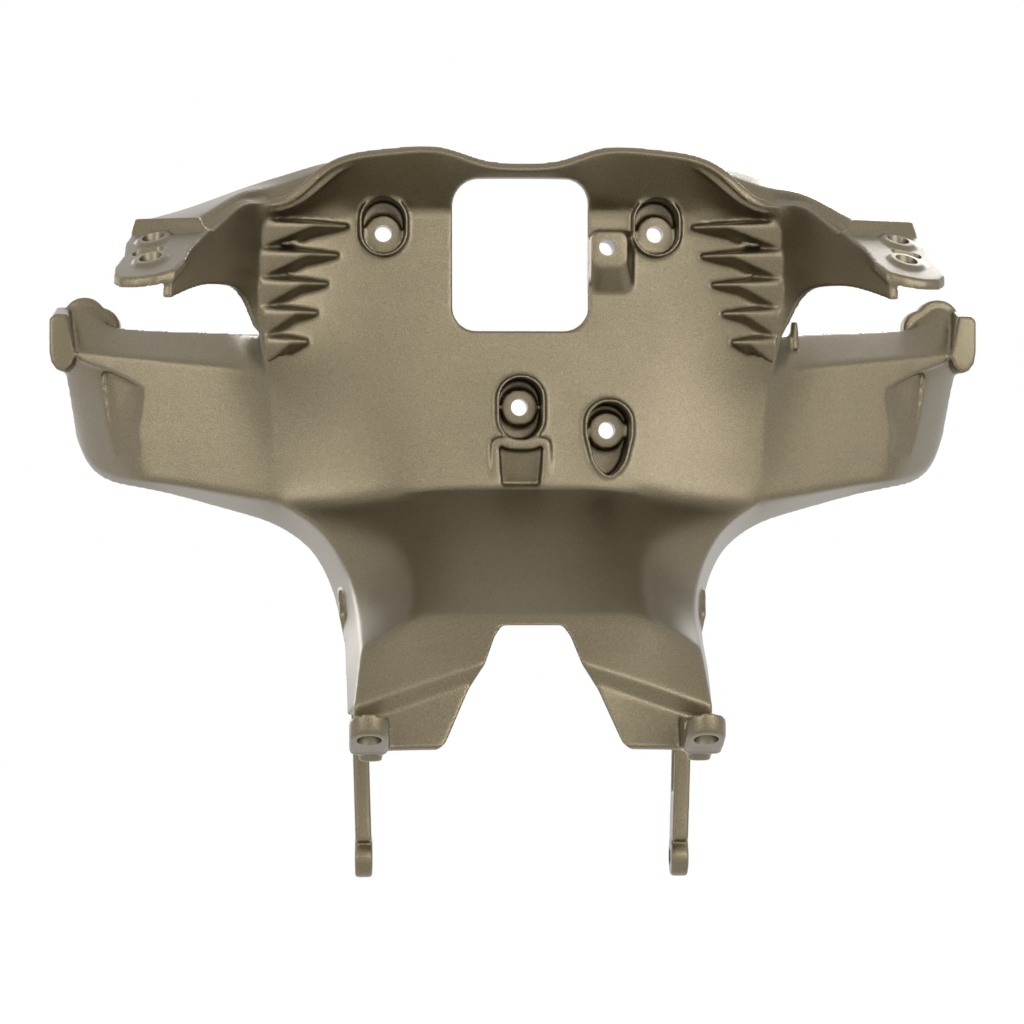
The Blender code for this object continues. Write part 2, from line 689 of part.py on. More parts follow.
def make_stay():
    stay = make_shell()
    stay.name = "stay_casting"
    adds = [make_crowns()]
    adds[0].hide_render = True
    adds[0].display_type = "WIRE"
    cuts = []
    add_pockets(adds, cuts)
    add_step_boss(adds, cuts)
    add_ribs(adds)
    add_ears(adds, cuts)
    add_arm_ends(adds)
    add_feet(adds, cuts)
    add_legs(adds, cuts)
    add_openings(cuts)
    combine(stay, "UNION", gather("additions", adds))
    combine(stay, "DIFFERENCE", gather("cuts", cuts))
    stay.data.materials.append(paint())
    stay.data.shade_smooth()
    centre([stay] + adds + cuts)


def centre(objects):
    """Hang everything on one empty, and move it so that the stay's box is about the origin."""
    datum = bpy.data.objects.new("datum", None)
    bpy.context.collection.objects.link(datum)
    for obj in objects:
        obj.parent = datum
    view = bpy.context.evaluated_depsgraph_get()
    corners = [Vector(corner) for corner in objects[0].evaluated_get(view).bound_box]
    datum.location = -(corners[0] + corners[6]) / 2


clear_scene()
make_stay()
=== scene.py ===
# Fairing stay of a motorcycle, dressed for its picture. The casting is built again from the
# sizes of the CAD model, finer, with the rounded inner corners of a real casting, and painted.
# Sizes are millimetres as (side, forward, height) from the back plate, as the CAD has them.

import math

import bmesh
import bpy
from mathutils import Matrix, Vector


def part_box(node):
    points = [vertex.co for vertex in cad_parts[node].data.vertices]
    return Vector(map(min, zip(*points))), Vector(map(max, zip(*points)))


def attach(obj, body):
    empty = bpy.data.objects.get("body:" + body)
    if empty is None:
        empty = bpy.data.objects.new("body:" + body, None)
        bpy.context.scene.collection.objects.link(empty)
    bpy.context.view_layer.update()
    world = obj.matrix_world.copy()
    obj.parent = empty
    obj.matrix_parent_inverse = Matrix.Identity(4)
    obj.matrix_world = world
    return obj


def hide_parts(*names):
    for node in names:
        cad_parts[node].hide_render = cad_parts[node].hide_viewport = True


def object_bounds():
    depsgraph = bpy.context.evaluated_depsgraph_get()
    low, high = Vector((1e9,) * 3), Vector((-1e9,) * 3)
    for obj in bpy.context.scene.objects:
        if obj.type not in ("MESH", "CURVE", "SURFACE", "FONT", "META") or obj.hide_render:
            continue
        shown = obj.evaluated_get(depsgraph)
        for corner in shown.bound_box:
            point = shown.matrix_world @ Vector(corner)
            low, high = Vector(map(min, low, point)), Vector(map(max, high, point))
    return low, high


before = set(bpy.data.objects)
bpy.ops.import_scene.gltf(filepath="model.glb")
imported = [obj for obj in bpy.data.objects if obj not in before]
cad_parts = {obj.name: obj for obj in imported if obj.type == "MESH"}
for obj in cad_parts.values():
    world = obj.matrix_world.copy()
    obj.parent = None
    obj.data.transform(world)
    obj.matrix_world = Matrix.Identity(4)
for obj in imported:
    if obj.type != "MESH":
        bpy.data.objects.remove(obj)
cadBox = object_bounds()
mm = 0.001

# The sizes count from the back plate, this far behind the feet's tips and above the legs' ends
feetForward, legsBelow = 0.1372, 0.1448
stayLow = Vector(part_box("stay_casting")[0])
zero = Vector((0, stayLow.y + feetForward, stayLow.z + legsBelow))


def put(point):
    side, forward, height = point
    return zero + Vector((side, -forward, height)) * mm


def between(start, end, share):
    return tuple(a + (b - a) * share for a, b in zip(start, end))


# Skin of the casting

skin = {
    "wall": 3.6,
    "smoothing": 3,
    "plateFold": 0.6,  # a fold's sharpness: 0 is round, 1 is a crease
    "rootFold": 0.8,
    "rimFold": 0.9,
    "armFold": 0.75,
    "stepFold": 0.9,
}

hood = {
    "forward": 22.0,
    "notchHalf": 16.0,
    "notchHeight": 134.9,
    "peakHalf": 32.0,
    "peakHeight": 143.6,
    "swell": (52.0, 141.0),  # side and height of the rim between peak and shoulder
    "shoulder": (75.5, 139.0),
    "drop": (88.0, 21.0, 121.2),  # where the rim comes down to the beam
    "roofShare": 0.45,  # height of the roof's middle row, as a share
}

plate = {
    "top": 120.5,
    "flatHalf": 52.0,
    "dishHalf": 72.0,
    "foot": (10.0, 9.4),  # forward and height of the corner with the floor
    "footDrop": [(3, 47.0, 2.2), (4, 72.0, 6.6), (5, 86.5, 6.2)],  # where the corner falls away
    "edgeTurn": 11.0,
    "upperShares": (0.0, 0.16),  # how far a row's last two points have come to its edge
    "lowerShares": (0.38, 0.72),
    "bend": 1.6,
    "edge": [  # from the beam down to the arm's lower corner
        (101.0, 19.5, 120.5),
        (102.5, 17.5, 115.0),
        (103.5, 16.0, 108.5),
        (104.5, 15.5, 99.0),
        (108.8, 19.5, 87.5),
        (104.0, 9.0, 69.5),
        (100.0, 0.0, 52.0),
        (98.5, -2.5, 36.0),
        (97.8, -4.0, 20.0),
        (97.5, -5.0, 4.5),
    ],
}

floor = {
    "half": 44.0,
    "sink": (0.6, 0.8),  # of the floor's sides, to the rear and down
    "flankShares": (0.36, 0.72),
    "front": (90.0, -39.0),
    "rim": [  # share of the floor's length, then the rim's point
        (0.14, (87.7, 4.5, -1.0)),
        (0.34, (77.0, 17.5, -9.0)),
        (0.54, (68.0, 30.0, -26.0)),
        (0.76, (65.0, 52.0, -42.0)),
        (1.00, (64.5, 85.0, -51.5)),
    ],
    "skirt": [
        (100.5, -30.0, -4.0),
        (90.5, -25.0, -9.5),
        (81.5, -17.0, -17.0),
        (74.8, -8.0, -31.0),
        (70.5, 18.0, -48.0),
        (70.0, 58.0, -60.0),
        (69.5, 76.0, -77.0),
    ],
}

apron = {
    "side": 67.0,
    "flank": (52.0, 60.0),
    # forward, height in the middle and height at the side
    "rows": [(100.0, -50.5, -72.4), (98.0, -55.0, -80.0), (105.5, -87.5, -87.5)],
}

beam = {
    "wall": [  # upper and lower edge, from the plate forward
        ((109.0, 33.0, 122.6), (115.5, 43.5, 88.0)),
        ((119.5, 51.0, 109.6), (122.5, 57.0, 87.6)),
        ((127.5, 69.0, 101.2), (127.8, 71.0, 85.0)),
        ((131.2, 82.0, 94.6), (131.8, 83.0, 82.3)),
        ((134.8, 92.5, 89.6), (135.2, 92.5, 79.8)),
    ],
    "crownWall": 2.6,
    "crown": [  # inner, dip, ridge, outer and hanging edge of the skin over the beam
        ((62.0, 18.5, 141.0), (62.0, 14.0, 138.5), (62.0, 8.0, 136.4), (60.0, 2.0, 136.0),
         (60.0, 1.0, 126.0)),
        ((74.0, 19.0, 137.0), (74.5, 14.0, 135.6), (73.0, 8.0, 138.6), (70.0, 0.0, 142.4),
         (71.5, -1.0, 132.0)),
        ((88.0, 18.4, 122.6), (88.5, 13.5, 121.0), (86.5, 8.0, 132.8), (88.0, -0.5, 136.8),
         (89.0, -1.5, 126.5)),
        ((101.0, 18.0, 119.6), (99.5, 14.5, 120.5), (98.0, 9.5, 128.6), (103.0, -1.0, 132.4),
         (104.5, -2.0, 121.5)),
        ((111.0, 32.0, 120.4), (110.6, 30.4, 123.4), (108.8, 28.0, 127.2), (118.0, 2.0, 126.3),
         (120.0, 1.0, 115.0)),
        ((121.6, 50.0, 107.6), (121.8, 48.6, 111.0), (121.8, 46.2, 116.6), (135.5, 12.0, 119.0),
         (137.5, 11.0, 107.5)),
        ((126.2, 55.0, 105.4), (126.4, 54.2, 109.0), (127.0, 52.6, 112.8), (150.6, 40.5, 112.8),
         (152.6, 39.5, 102.0)),
    ],
}

arm = {
    "sweep": 22.0,
    "turnSide": 169.0,  # where the face turns back, at the upper crease
    "turnLean": 14.0,
    "turn": 46.0,
    "shares": (0.0, 0.2, 0.6, 1.0),  # rows of the face, from its upper to its lower crease
    # side, lean of the lower crease, upper and lower crease, depth and rise of the upper band,
    # depth and drop of the lower band
    "stations": [
        (113.0, 0.0, 58.5, 6.5, 19.0, 14.5, 26.0, 7.0),
        (136.0, 0.0, 60.8, 10.8, 19.0, 13.0, 18.0, 4.8),
        (157.0, 10.0, 63.0, 12.4, 18.0, 12.0, 11.0, 3.8),
        (169.0, 14.0, 64.4, 13.3, 17.5, 12.1, 8.0, 3.4),
        (177.0, 9.5, 65.2, 15.0, 17.0, 24.8, 5.0, 3.0),
        (182.5, 5.5, 65.4, 21.5, 16.0, 20.8, 4.0, 2.5),
        (186.2, 4.5, 64.2, 34.0, 14.0, 18.8, 4.0, 2.0),
    ],
}


class Cage:
    # Open sheet of four-sided faces, welded where points of its patches coincide

    def __init__(self):
        self.points = []
        self.faces = []
        self.known = {}
        self.folds = {}

    def number(self, point):
        key = tuple(round(value, 2) + 0.0 for value in point)
        if key not in self.known:
            self.known[key] = len(self.points)
            self.points.append(put(point))
        return self.known[key]

    def patch(self, rows):
        for side in (1, -1):
            grid = [[self.number((side * x, y, z)) for x, y, z in row] for row in rows]
            for upper, lower in zip(grid, grid[1:]):
                for i in range(len(upper) - 1):
                    face = (upper[i], lower[i], lower[i + 1], upper[i + 1])
                    self.faces.append(face if side > 0 else face[::-1])

    def fold(self, line, sharpness):
        for side in (1, -1):
            numbers = [self.number((side * x, y, z)) for x, y, z in line]
            for pair in zip(numbers, numbers[1:]):
                self.folds[frozenset(pair)] = sharpness

    def sheet(self, name, wall):
        mesh = bpy.data.meshes.new(name)
        mesh.from_pydata(self.points, [], self.faces)
        layer = mesh.attributes.new("crease_edge", "FLOAT", "EDGE")
        for edge in mesh.edges:
            layer.data[edge.index].value = self.folds.get(frozenset(edge.vertices), 0.0)
        piece = bpy.data.objects.new(name, mesh)
        bpy.context.collection.objects.link(piece)
        smooth = piece.modifiers.new("round", "SUBSURF")
        smooth.levels = smooth.render_levels = skin["smoothing"]
        smooth.boundary_smooth = "PRESERVE_CORNERS"
        thick = piece.modifiers.new("wall", "SOLIDIFY")
        thick.thickness = wall * mm
        thick.offset = -1
        thick.use_even_offset = True
        return piece


def plateRow(edge, height, lean):
    side, forward, edgeHeight = edge
    flat = (0.0, hood["notchHalf"], hood["peakHalf"], plate["flatHalf"])
    row = [(x, lean, height) for x in flat]
    shares = plate["upperShares"] if forward > lean else plate["lowerShares"]
    for x, share in zip((plate["dishHalf"], side - plate["edgeTurn"]), shares):
        row.append((x, lean + (forward - lean) * share, height + (edgeHeight - height) * share))
    return row + [edge]


def plateForward(height):
    forward, foot = plate["foot"]
    share = min(max((plate["top"] - height) / (plate["top"] - foot), 0.0), 1.0)
    return forward * share ** plate["bend"]


def plateRows():
    profile = [(0.0, hood["notchHeight"]), (hood["notchHalf"], hood["notchHeight"]),
               (hood["peakHalf"], hood["peakHeight"]), hood["swell"], hood["shoulder"]]
    rim = [(side, hood["forward"], height) for side, height in profile] + [hood["drop"]]
    edges = plate["edge"]
    crease = plateRow(edges[2], plate["top"], 0.0)
    roof = [between(low, high, hood["roofShare"]) for low, high in zip(crease, rim)]
    rows = [rim + [edges[0]], roof + [edges[1]], crease]
    rows += [plateRow(edge, edge[2], plateForward(edge[2])) for edge in edges[3:-1]]
    footForward, footHeight = plate["foot"]
    foot = plateRow(edges[-1], footHeight, footForward)
    for number, side, drop in plate["footDrop"]:
        foot[number] = (side, foot[number][1], footHeight - drop)
    return rows + [foot]


def floorRows():
    rows = []
    back, down = floor["sink"]
    for share, rim in floor["rim"]:
        forward, height = between(plate["foot"], floor["front"], share)
        shoulder = (floor["half"], forward - back, height - down)
        row = [(x, forward, height) for x in (0.0, hood["notchHalf"], hood["peakHalf"])]
        flank = [between(shoulder, rim, part) for part in floor["flankShares"]]
        rows.append(row + [shoulder] + flank + [rim])
    return rows


def apronRows():
    side = apron["side"]
    places = (0.0, hood["notchHalf"], hood["peakHalf"], floor["half"], *apron["flank"], side)
    rows = []
    for forward, middle, outside in apron["rows"]:
        rows.append([(x, forward, middle + (outside - middle) * x / side) for x in places])
    return rows


def armRows():
    rootSide, rootForward, _ = plate["edge"][-1]
    rows = [[edge] for edge in plate["edge"][5:]] + [[floor["skirt"][0]]]
    sweep, turn = (math.tan(math.radians(arm[name])) for name in ("sweep", "turn"))
    for side, lean, upper, lower, upperDepth, rise, lowerDepth, drop in arm["stations"]:
        for row, share in zip(rows[1:5], arm["shares"]):
            x = side - lean * share
            forward = rootForward - (x - rootSide) * sweep
            if share > 0:
                forward -= max(0.0, x - arm["turnSide"] + arm["turnLean"] * share) * turn
            row.append((x, forward, upper + (lower - upper) * share))
        crease, hem = rows[1][-1], rows[4][-1]
        rows[0].append((side, crease[1] - upperDepth, upper + rise))
        rows[5].append((hem[0], hem[1] - lowerDepth, lower - drop))
    return rows


def beamRows():
    edges = plate["edge"][:5]
    top, bottom = edges[0][2], edges[-1][2]
    rows = []
    for edge in edges:
        share = (top - edge[2]) / (top - bottom)
        rows.append([edge] + [between(upper, lower, share) for upper, lower in beam["wall"]])
    return rows


def makeSkin():
    cage = Cage()
    plateCount = len(plate["edge"])
    body = plateRows() + floorRows() + apronRows()
    armGrid = armRows()
    rim = [row[-1] for row in body[plateCount - 1:]]
    for rows in (body, armGrid, beamRows(), [list(pair) for pair in zip(rim, floor["skirt"])]):
        cage.patch(rows)
    cage.fold(body[2][:5], skin["plateFold"])
    cage.fold(body[plateCount - 1][:4], skin["plateFold"])
    cage.fold(body[plateCount + len(floor["rim"]) - 1], skin["plateFold"])
    cage.fold(plate["edge"][4:], skin["rootFold"])
    for row in body[-3:-1]:  # the apron's step
        cage.fold(row, skin["stepFold"])
    for row in (armGrid[1], armGrid[4]):
        cage.fold(row, skin["armFold"])
    cage.fold(rim, skin["rimFold"])
    return cage.sheet("casting", skin["wall"])


def makeCrowns():
    cage = Cage()
    inner, dip, ridge, outer, hem = zip(*beam["crown"])
    cage.patch([hem, outer, ridge, dip, inner])
    cage.fold(outer, skin["armFold"])
    cage.fold(ridge, skin["plateFold"])
    return cage.sheet("crowns", beam["crownWall"])


# Outlines and solids

past = 5.0  # how far a cutter passes what it cuts
draft = 0.6  # how much a boss narrows to its end


def circle(side, height, radius, count=48):
    angles = [2 * math.pi * i / count for i in range(count)]
    return [(side + radius * math.cos(a), height + radius * math.sin(a)) for a in angles]


def stretched(side, low, high, radius, count=40):
    half = [math.pi * i / (count // 2) for i in range(count // 2 + 1)]
    upper = [(side + radius * math.cos(a), high + radius * math.sin(a)) for a in half]
    lower = [(side - radius * math.cos(a), low - radius * math.sin(a)) for a in half]
    return upper + lower


def rounded(left, right, low, high, corner, count=9):
    outline = []
    for quarter, (x, z) in enumerate([(right, high), (left, high), (left, low), (right, low)]):
        x += -corner if x == right else corner
        z += -corner if z == high else corner
        for i in range(count + 1):
            angle = math.pi / 2 * (quarter + i / count)
            outline.append((x + corner * math.cos(angle), z + corner * math.sin(angle)))
    return outline


def lofted(name, sections):
    bm = bmesh.new()
    rings = [[bm.verts.new(put(point)) for point in section] for section in sections]
    for near, far in zip(rings, rings[1:]):
        for i in range(len(near)):
            j = (i + 1) % len(near)
            bm.faces.new((near[i], near[j], far[j], far[i]))
    bm.faces.new(rings[0])
    bm.faces.new(rings[-1])
    bmesh.ops.recalc_face_normals(bm, faces=bm.faces)
    mesh = bpy.data.meshes.new(name)
    bm.to_mesh(mesh)
    bm.free()
    solid = bpy.data.objects.new(name, mesh)
    bpy.context.collection.objects.link(solid)
    return solid


# Where an outline's two measures and its depth lie: on a face to the front, on a level one, on a
# falling one, or on one to the side


def facing(u, v, w):
    return (u, w, v)


def upright(u, v, w):
    return (u, v, w)


def falling(origin, fall, lean=0.0):
    side, forward, height = origin
    return lambda u, v, w: (u, v, height - (v - forward) * fall - (abs(u) - side) * lean + w)


def sideways(middle, side):
    return lambda u, v, w: (side * (middle + w), u, v)


def run(name, outline, start, end, place=facing, narrowing=0.0):
    middle = [sum(values) / len(outline) for values in zip(*outline)]
    reach = max(math.dist(point, middle) for point in outline)
    tip = [between(middle, point, 1 - narrowing / reach) for point in outline]
    ends = [(outline, start), (tip, end)]
    return lofted(name, [[place(u, v, level) for u, v in line] for line, level in ends])


def bake(piece):
    view = bpy.context.evaluated_depsgraph_get()
    mesh = bpy.data.meshes.new_from_object(piece.evaluated_get(view))
    piece.modifiers.clear()
    piece.data = mesh


def carve(piece, cutters):
    group = bpy.data.collections.new("cutters")
    bpy.context.scene.collection.children.link(group)
    for cutter in cutters:
        group.objects.link(cutter)
    step = piece.modifiers.new("carve", "BOOLEAN")
    step.operation = "DIFFERENCE"
    step.operand_type = "COLLECTION"
    step.collection = group
    step.solver = "EXACT"
    bake(piece)
    bpy.data.collections.remove(group)


def discard(solids):
    for solid in solids:
        bpy.data.objects.remove(solid, do_unlink=True)


pocket = {
    "hole": 6.8,
    "seat": -5.0,
    "seatRadius": 7.5,
    "seatRear": -15.0,
    "deep": -13.0,
    "rear": -17.0,
    "half": 8.6,
    "lip": 1.6,
    "pointFrom": 0.45,  # share of the radius below the middle where the point begins
    "point": [(0.72, -10.9), (0.45, -14.7), (0.14, -17.0)],  # share of the half width, drop
    "places": [  # side and height of the hole, recess above and below it, rim, pointed or not
        (-54.6, 111.6, 5.0, 0.0, 5.2, False),
        (54.6, 111.6, 5.0, 0.0, 5.2, False),
        (0.0, 42.0, 3.0, 4.6, 3.3, False),
        (35.2, 32.8, 2.4, 1.0, 3.3, True),
    ],
    "catch": [  # recess below the middle pocket, its top follows that pocket's foot
        (-7.6, 10.4), (7.6, 10.4), (8.8, 26.6), (6.0, 25.2), (2.2, 24.5), (-2.2, 24.5),
        (-6.0, 25.2), (-8.8, 26.6),
    ],
    "catchForward": (1.5, 5.5),  # its rear wall at its foot and top
    "catchWall": 3.0,
    "catchSunk": 0.4,
}


def pocketOutline(place, grow):
    side, height, above, below, _, pointed = place
    radius = pocket["half"] + grow
    low = height - below
    outline = stretched(side, low, height + above, radius)
    if pointed:
        outline = [point for point in outline if point[1] >= low - radius * pocket["pointFrom"]]
        for share, drop in pocket["point"]:
            outline += [(side + turn * radius * share, low + drop - grow) for turn in (1, -1)]
        outline.sort(key=lambda point: math.atan2(point[1] - low, point[0] - side))
    return outline


def addPockets(adds, bosses, cuts, drills):
    rear, seat, clear = pocket["rear"], pocket["seat"], hood["forward"] + past
    for number, place in enumerate(pocket["places"]):
        side, height, _, _, rim, _ = place
        outline = pocketOutline(place, pocket["lip"])
        front = plateForward(height) + rim
        bosses.append(run(f"boss{number}", outline, rear, front, narrowing=draft))
        cuts.append(run(f"recess{number}", pocketOutline(place, 0.0), clear, pocket["deep"]))
        disc = circle(side, height, pocket["seatRadius"])
        adds.append(run(f"seat{number}", disc, pocket["seatRear"], seat))
        bore = circle(side, height, pocket["hole"] / 2)
        drills.append(run(f"bolt{number}", bore, rear - past, seat + past))
    low, top = pocket["catch"][0][1], pocket["catch"][2][1]
    half, wall = pocket["catch"][2][0] + pocket["catchWall"], pocket["catchWall"]
    foot, peak = pocket["catchForward"]
    hollow = [(x, foot + (peak - foot) * (z - low) / (top - low), z) for x, z in pocket["catch"]]
    outline = rounded(-half, half, low - wall, top + wall, wall)
    bosses.append(run("catch", outline, foot - wall, plateForward(low) - pocket["catchSunk"]))
    cuts.append(lofted("catchHollow", [hollow, [(x, clear, z) for x, _, z in hollow]]))


stepBoss = {
    "face": (28.0, 42.5, 97.6, 112.2),  # left, right, low, high
    "corner": 4.0,
    "forward": 8.0,
    "foot": 85.0,
    "spread": 3.5,
    "hole": (34.6, 105.6),
}


def addStepBoss(adds, drills):
    left, right, low, high = stepBoss["face"]
    face = rounded(left, right, low, high, stepBoss["corner"])
    foot = []
    for x, z in face:
        x += stepBoss["spread"] if x > (left + right) / 2 else 0
        z -= low - stepBoss["foot"] if z < (low + high) / 2 else 0
        foot.append((x, z))
    rear, front = pocket["rear"], stepBoss["forward"]
    sections = [[(x, depth, z) for x, z in foot] for depth in (rear, 0.0)]
    adds.append(lofted("stepBoss", sections + [[(x, front, z) for x, z in face]]))
    hole = circle(*stepBoss["hole"], pocket["hole"] / 2)
    drills.append(run("stepHole", hole, rear - past, front + past))


rib = {
    "count": 5,
    "heights": (113.9, 67.9),  # of the highest and the lowest rib, as the next three
    "tips": (68.6, 84.5),
    "ends": (104.4, 102.0),
    "peaks": (16.8, 9.3),
    "lift": (0.6, 2.16),  # above the plate's middle: its foot, then its crest at the tip
    "crestHalf": (0.48, 1.2),  # at its tip and at the wall
    "under": 8.6,  # how far its flanks spread below and above it
    "over": 3.4,
    "sink": (0.6, 2.6),  # how far it roots before its foot, and below its crest at the wall
    "course": [(0.0, 0.06, 0.0), (0.4, 0.5, 0.5), (1.0, 1.0, 1.0)],  # along, spread, rise
}


def addRibs(adds):
    for number in range(rib["count"]):
        share = number / (rib["count"] - 1)
        names = ("heights", "tips", "ends", "peaks")
        height, tip, end, peak = (rib[n][0] + (rib[n][1] - rib[n][0]) * share for n in names)
        low, lift = plateForward(height) + rib["lift"][0], rib["lift"][1]
        thin, thick = rib["crestHalf"]
        for side in (1, -1):
            sections = []
            for part, spread, rise in rib["course"]:
                x, forward = side * (tip + (end - tip) * part), low + lift + (peak - low) * rise
                half = thin + (thick - thin) * part
                root = low + rib["sink"][0] if part < 1 else forward - rib["sink"][1]
                sections.append([(x, forward, height + half), (x, forward, height - half),
                                 (x, root, height - half - rib["under"] * spread),
                                 (x, root, height + half + rib["over"] * spread)])
            adds.append(lofted(f"rib{number}", sections))


ear = {  # sides and distances forward count from the root, where beam, step and plate meet
    "root": (122.9, 58.0, 107.8),
    "fall": 0.43,  # of its face, to a millimetre forward
    "lean": 0.21,  # and to the side
    "thick": 4.2,
    "outline": [
        (-1.6, -3.0), (3.4, 8.0), (5.9, 17.0), (7.4, 26.5), (10.9, 34.6), (18.5, 35.8),
        (25.6, 34.6), (31.3, 31.4), (34.3, 26.0), (34.6, 20.5), (33.2, 14.0), (31.6, 8.0),
        (31.9, -3.0), (29.7, -13.4), (28.6, -16.0),
    ],
    "stepFoot": [(0.2, 0.3), (29.9, -12.7)],
    "stepTop": [(3.2, -3.0), (28.3, -14.6)],
    "stepHeight": 5.6,
    "stepWall": 4.0,
    "inset": 20.7,
    "hole": 8.5,
    "holes": (-1.4, 19.8),
    "pad": (6.6, 1.4),  # radius and rise
    "slot": (22.3, 9.2, 3.0, 5.8),  # side, forward, half of its length between centres, width
}


def addEars(adds, drills):
    place = falling(ear["root"], ear["fall"], ear["lean"])
    rootSide, rootForward, rootHeight = ear["root"]
    radius, rise = ear["pad"]
    thick = ear["thick"]

    def level(line, height):
        front = [(side * (rootSide + x), rootForward + y, height) for x, y in line]
        return front + [(x, y - ear["stepWall"], z) for x, y, z in reversed(front)]

    for side in (1, -1):
        outline = [(side * (rootSide + x), rootForward + y) for x, y in ear["outline"]]
        adds.append(run("ear", outline, -thick, 0.0, place))
        adds.append(lofted("earStep", [level(ear["stepFoot"], rootHeight - thick),
                                       level(ear["stepFoot"], rootHeight),
                                       level(ear["stepTop"], rootHeight + ear["stepHeight"])]))
        for reach in ear["holes"]:
            middle = (side * (rootSide + ear["inset"]), rootForward + reach)
            adds.append(run("earPad", circle(*middle, radius), -thick / 2, rise, place))
            hole = circle(*middle, ear["hole"] / 2)
            drills.append(run("earHole", hole, -thick - past, rise + past, place))
        x, y, half, width = ear["slot"]
        slot = stretched(rootForward + y, rootSide + x - half, rootSide + x + half, width / 2)
        slot = [(side * u, v) for v, u in slot]
        drills.append(run("earSlot", slot, -thick - past, rise + past, place))


armEnd = {
    "pad": [  # side and height of its corners
        (182.6, 80.6), (179.4, 64.0), (181.0, 59.4), (184.4, 57.0), (187.4, 58.2), (189.6, 61.4),
        (190.3, 66.0), (190.3, 78.6), (188.3, 80.6),
    ],
    "padForward": (-37.0, -59.0),
    "padRise": 4.2,
    "bosses": [(176.8, 79.2, 9.2), (169.8, 76.4, 7.6)],  # side, height, radius
    "bossForward": (-62.0, -52.0),
    "tongue": [
        (146.0, 61.6), (146.0, 46.4), (158.5, 53.8), (166.8, 57.7), (176.6, 60.9), (178.4, 62.6),
        (178.4, 65.2), (169.0, 64.2),
    ],
    "tongueDepth": 9.0,
    "scoop": [  # height, then side and forward of the recess's inner edge and of its crease
        (57.0, (150.4, -26.6), (164.8, -35.0)),
        (42.0, (152.2, -27.3), (162.8, -35.4)),
        (31.0, (154.2, -28.3), (160.8, -34.8)),
        (23.0, (152.6, -27.6), (158.2, -33.2)),
    ],
    "scoopStep": (2.2, 2.6),  # the inner edge's wall: width and depth
    "scoopRun": 4.4,
    "scoopFall": 4.0,
    "scoopClear": 12.0,
    "pin": (112.0, -15.0, 66.0, 77.0, 2.2),  # side, forward, low, high, radius
}


def addArmEnds(adds, cuts):
    front, rear = armEnd["padForward"]
    rootSide, rootForward, _ = plate["edge"][-1]
    sweep = math.tan(math.radians(arm["sweep"]))
    heights = [height for _, height in armEnd["pad"]]
    low, high = min(heights), max(heights)
    for side in (1, -1):
        face = [(side * x, front, z) for x, z in armEnd["pad"]]
        back = [(x, rear, z + armEnd["padRise"] * (z - low) / (high - low)) for x, _, z in face]
        adds.append(lofted("endPad", [face, back]))
        for x, z, radius in armEnd["bosses"]:
            adds.append(run("endBoss", circle(side * x, z, radius), *armEnd["bossForward"]))
        face = [(side * x, rootForward - (x - rootSide) * sweep, z) for x, z in armEnd["tongue"]]
        depth = armEnd["tongueDepth"]
        adds.append(lofted("tongue", [face, [(x, forward - depth, z) for x, forward, z in face]]))
        sections = []
        for z, inner, crease in armEnd["scoop"]:
            x, forward = crease[0] + armEnd["scoopRun"], crease[1] + armEnd["scoopClear"]
            step = (inner[0] + armEnd["scoopStep"][0], inner[1] - armEnd["scoopStep"][1])
            outer = (x, crease[1] - armEnd["scoopFall"])
            corners = [inner, step, crease, outer, (x, forward), (inner[0], forward)]
            sections.append([(side * u, v, z) for u, v in corners])
        cuts.append(lofted("scoop", sections))
    side, forward, low, high, radius = armEnd["pin"]
    adds.append(run("pin", circle(side, forward, radius), low, high, upright, draft))


foot = {
    "hole": (61.7, 130.0, -83.4),
    "rise": 0.44,  # of the lug's face, to a millimetre forward
    "radius": 7.2,
    "thick": 7.2,
    "bore": 9.2,
    "reach": 8.0,
    "root": (100.0, 117.5, -89.4, -76.6),  # rear, front, low, high
    "rootCorner": 2.0,
    "stud": (61.0, 110.0, 4.4, -92.2),  # side, forward, radius, lower end
}


def addFeet(adds, drills):
    middle, forward, _ = foot["hole"]
    place = falling(foot["hole"], -foot["rise"])
    radius, thick = foot["radius"], foot["thick"]
    rear, front, low, high = foot["root"]
    x, y, studRadius, end = foot["stud"]
    for side in (1, -1):
        centre = side * middle
        lug = stretched(centre, forward - foot["reach"], forward, radius)
        adds.append(run("foot", lug, 0.0, thick, place))
        root = rounded(centre - radius, centre + radius, low, high, foot["rootCorner"])
        adds.append(run("footRoot", root, rear, front))
        adds.append(run("footStud", circle(side * x, y, studRadius), end, high, upright))
        bore = circle(centre, forward, foot["bore"] / 2)
        drills.append(run("footBore", bore, -past, thick + past, place))


leg = {
    "sections": [  # height, side, rear and front edge, thickness
        (-31.0, 70.4, -11.0, 17.0, 5.0),
        (-40.0, 69.3, -11.0, 24.0, 6.4),
        (-54.0, 66.4, -8.0, 22.0, 6.4),
        (-70.0, 64.8, -3.0, 20.0, 6.4),
        (-92.0, 63.8, 1.5, 18.5, 6.4),
        (-112.0, 63.2, 3.2, 18.2, 6.4),
        (-130.0, 62.7, 3.6, 18.6, 6.4),
    ],
    "eye": (62.6, 11.0, -137.0),
    "eyeRadius": 7.8,
    "eyeThick": 7.0,
    "recess": 1.7,
    "flange": 3.4,
    "clear": 4.0,
}


